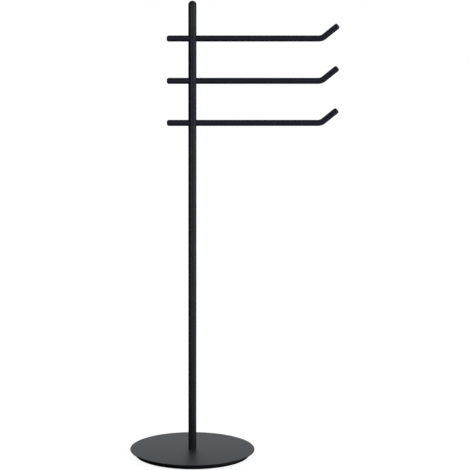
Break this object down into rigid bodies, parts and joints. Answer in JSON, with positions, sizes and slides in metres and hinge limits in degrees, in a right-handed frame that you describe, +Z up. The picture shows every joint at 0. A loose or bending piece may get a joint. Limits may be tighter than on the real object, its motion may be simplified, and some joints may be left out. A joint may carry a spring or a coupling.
{
  "type": "freestanding towel stand",
  "caption": "Freestanding towel stand: slim upright post on a round weighted base, crossed by fixed horizontal rods, each with a short stub and a long reach that ends in an upturned tip.",
  "frame": {"origin": "on the floor, under the axis of the post", "axes": "+Z up along the post, +X towards the long, upturned ends of the arms, +Y to the rear, where the grub screws are"},
  "size_m": [0.411, 0.25, 0.9075],
  "materials": {
    "black_powder_coat": "fine matt black powder coat",
    "black_ballast": "matt black paint over cast iron",
    "black_rubber": "matt",
    "zinc_steel": "bright zinc plating",
    "black_oxide_steel": "black oxide"
  },
  "bodies": {
    "root": {"base_plate": "black_powder_coat", "base_ballast": "black_ballast", "base_pad": "black_rubber", "base_bolt": "zinc_steel", "ballast_screws": "zinc_steel", "post_tube": "black_powder_coat", "post_cap": "black_powder_coat", "post_foot_insert": "zinc_steel", "towel_arm_top": "black_powder_coat", "towel_arm_middle": "black_powder_coat", "towel_arm_bottom": "black_powder_coat", "arm_grub_screws": "black_oxide_steel"}
  },
  "joints": []
}
